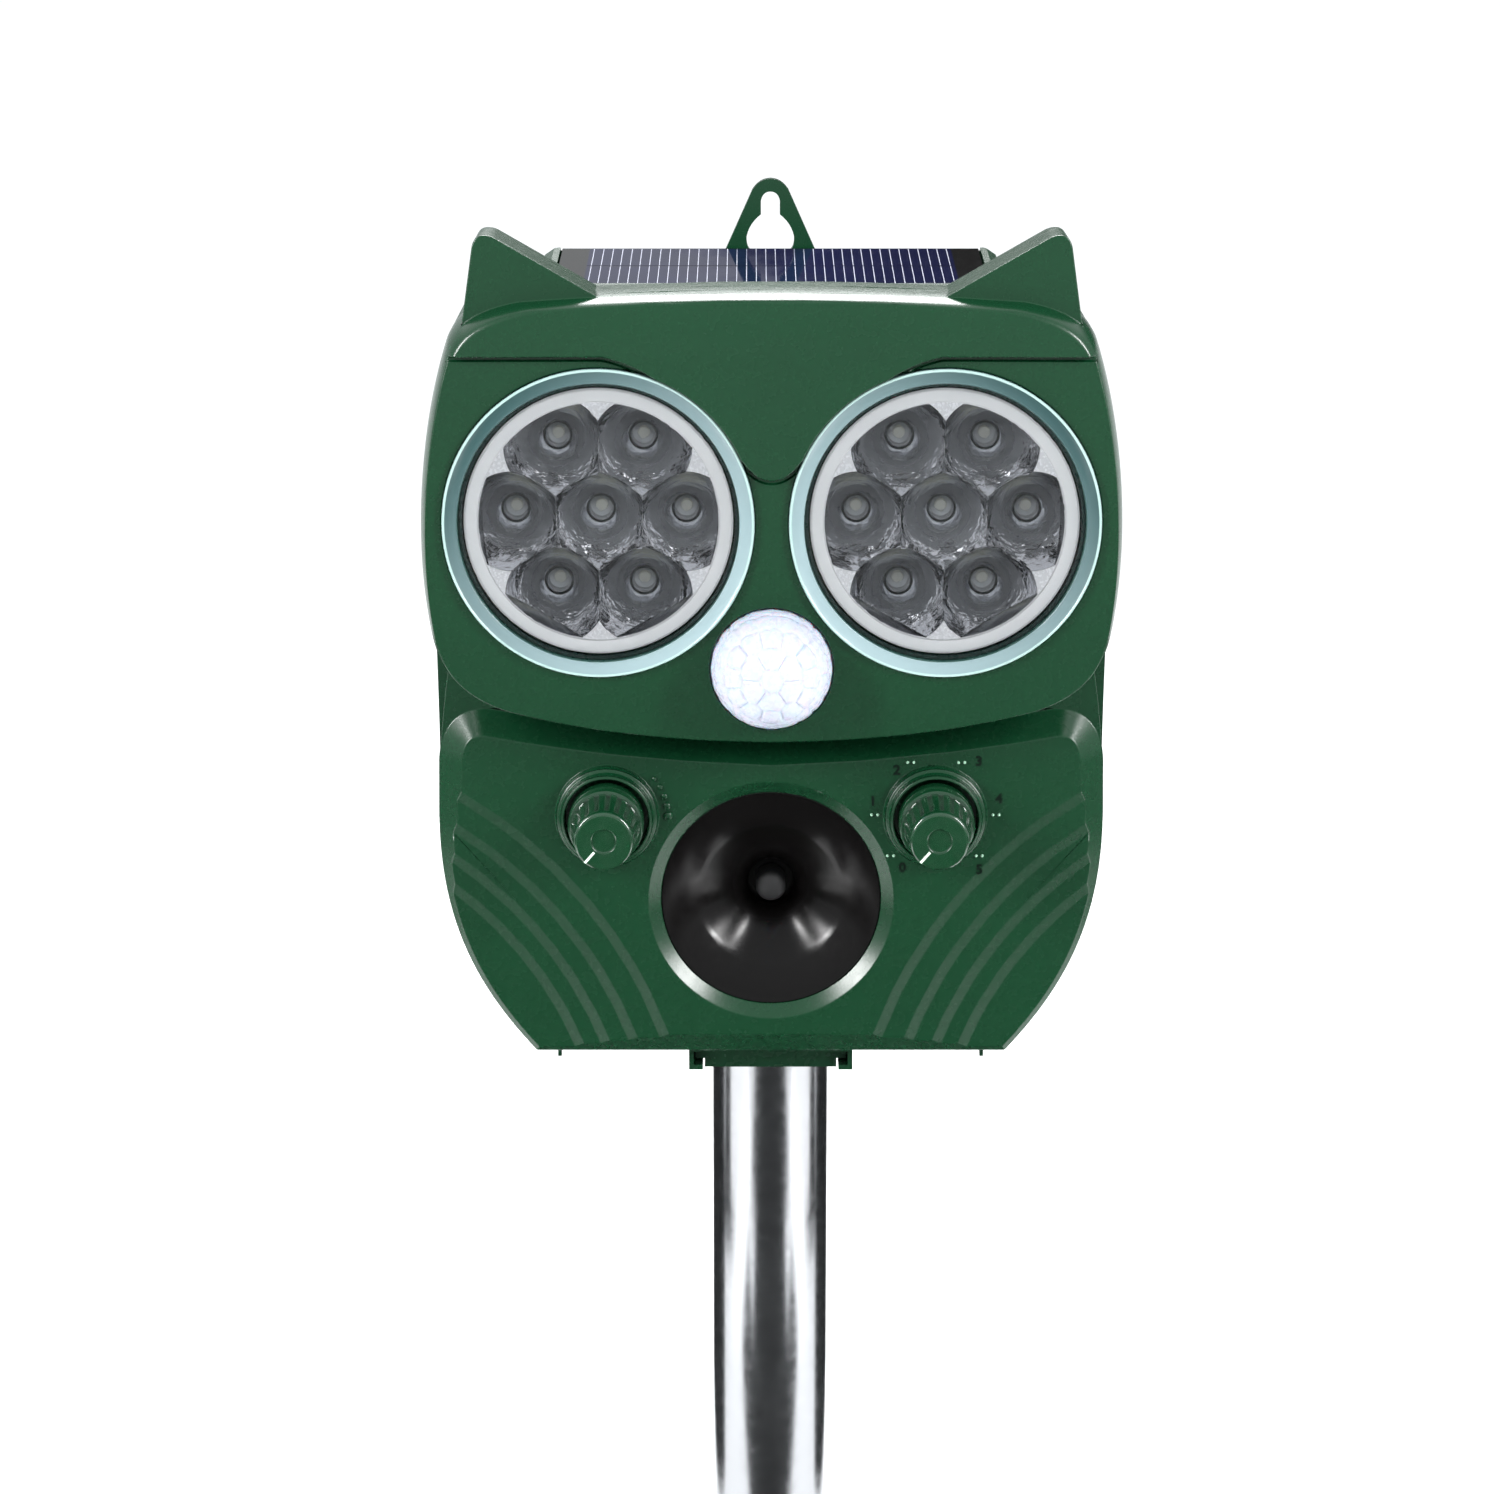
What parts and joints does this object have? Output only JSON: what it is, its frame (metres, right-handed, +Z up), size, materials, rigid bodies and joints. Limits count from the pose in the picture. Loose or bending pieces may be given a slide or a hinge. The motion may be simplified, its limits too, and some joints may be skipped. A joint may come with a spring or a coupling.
{
  "type": "ultrasonic pest repeller",
  "caption": "Owl-shaped solar ultrasonic animal repeller: housing with light-ring eyes, motion dome, horn speaker and dials on a steel ground stake.",
  "frame": {"origin": "on the stake's axis at the underside of the spike's flange, where the soil starts", "axes": "+Z up along the stake, -Y the way the owl faces, +X to the viewer's right from the front"},
  "size_m": [0.1402, 0.087, 0.3965],
  "materials": {
    "green_shell": "dark green satin-gloss moulding",
    "green_knob": "dark green satin knob",
    "black_plastic": "glossy black moulding",
    "black_rubber": "matt soft rubber",
    "stainless_tube": "polished stainless tube",
    "zinc_hardware": "zinc plated",
    "reflector_chrome": "vacuum metallised mirror",
    "ring_plastic": "translucent blue-grey trim",
    "clear_lens": "clear polycarbonate",
    "led_epoxy": "clear epoxy",
    "milky_dome": "milky white polyethylene",
    "solar_cell": "navy cells under clear cover",
    "circuit_board": "green solder mask",
    "cell_sleeve": "shrink sleeve",
    "lead_sleeve": "insulated lead"
  },
  "bodies": {
    "stake": {"stake_adapter": "green_shell", "stake_tube": "stainless_tube", "ground_spike": "black_plastic"},
    "housing": {"head_cover": "green_shell", "chest_cover": "green_shell", "rear_case": "green_shell", "hanger_tab": "green_shell", "solar_frame": "green_shell", "solar_panel": "solar_cell", "eye_ring_left": "ring_plastic", "eye_lens_left": "clear_lens", "reflector_left": "reflector_chrome", "led_board_left": "circuit_board", "led_left_1": "led_epoxy", "led_left_2": "led_epoxy", "led_left_3": "led_epoxy", "led_left_4": "led_epoxy", "led_left_5": "led_epoxy", "led_left_6": "led_epoxy", "led_left_7": "led_epoxy", "eye_ring_right": "ring_plastic", "eye_lens_right": "clear_lens", "reflector_right": "reflector_chrome", "led_board_right": "circuit_board", "led_right_1": "led_epoxy", "led_right_2": "led_epoxy", "led_right_3": "led_epoxy", "led_right_4": "led_epoxy", "led_right_5": "led_epoxy", "led_right_6": "led_epoxy", "led_right_7": "led_epoxy", "sensor_dome": "milky_dome", "sensor_can": "zinc_hardware", "sensor_board": "circuit_board", "speaker_horn": "black_plastic", "phase_plug": "black_plastic", "speaker_driver": "black_plastic", "battery_holder": "black_plastic", "sensitivity_pot": "zinc_hardware", "sensitivity_nut": "zinc_hardware", "frequency_pot": "zinc_hardware", "frequency_nut": "zinc_hardware", "main_board": "circuit_board", "battery_cell": "cell_sleeve", "usb_socket": "zinc_hardware", "solar_lead": "lead_sleeve", "speaker_lead": "lead_sleeve", "case_screw_1": "zinc_hardware", "case_screw_2": "zinc_hardware", "case_screw_3": "zinc_hardware", "case_screw_4": "zinc_hardware", "case_screw_5": "zinc_hardware", "case_screw_6": "zinc_hardware"},
    "sensitivity_dial": {"sensitivity_knob": "green_knob", "sensitivity_shaft": "zinc_hardware"},
    "frequency_dial": {"frequency_knob": "green_knob", "frequency_shaft": "zinc_hardware"},
    "usb_flap": {"usb_cover": "black_rubber"}
  },
  "joints": [
    {"name": "housing_slide", "type": "slide", "parent": "stake", "child": "housing", "axis": [0, 1, 0], "range_m": [0, 0.034]},
    {"name": "sensitivity_turn", "type": "hinge", "parent": "housing", "child": "sensitivity_dial", "pos_m": [-0.0333, -0.03, 0.1693], "axis": [0, 1, 0], "range_deg": [0, 270]},
    {"name": "frequency_turn", "type": "hinge", "parent": "housing", "child": "frequency_dial", "pos_m": [0.0333, -0.03, 0.1693], "axis": [0, 1, 0], "range_deg": [0, 270]},
    {"name": "usb_flap_swing", "type": "hinge", "parent": "housing", "child": "usb_flap", "pos_m": [0.0238, 0.0367, 0.23], "axis": [0, 0, 1], "range_deg": [0, 95]}
  ]
}
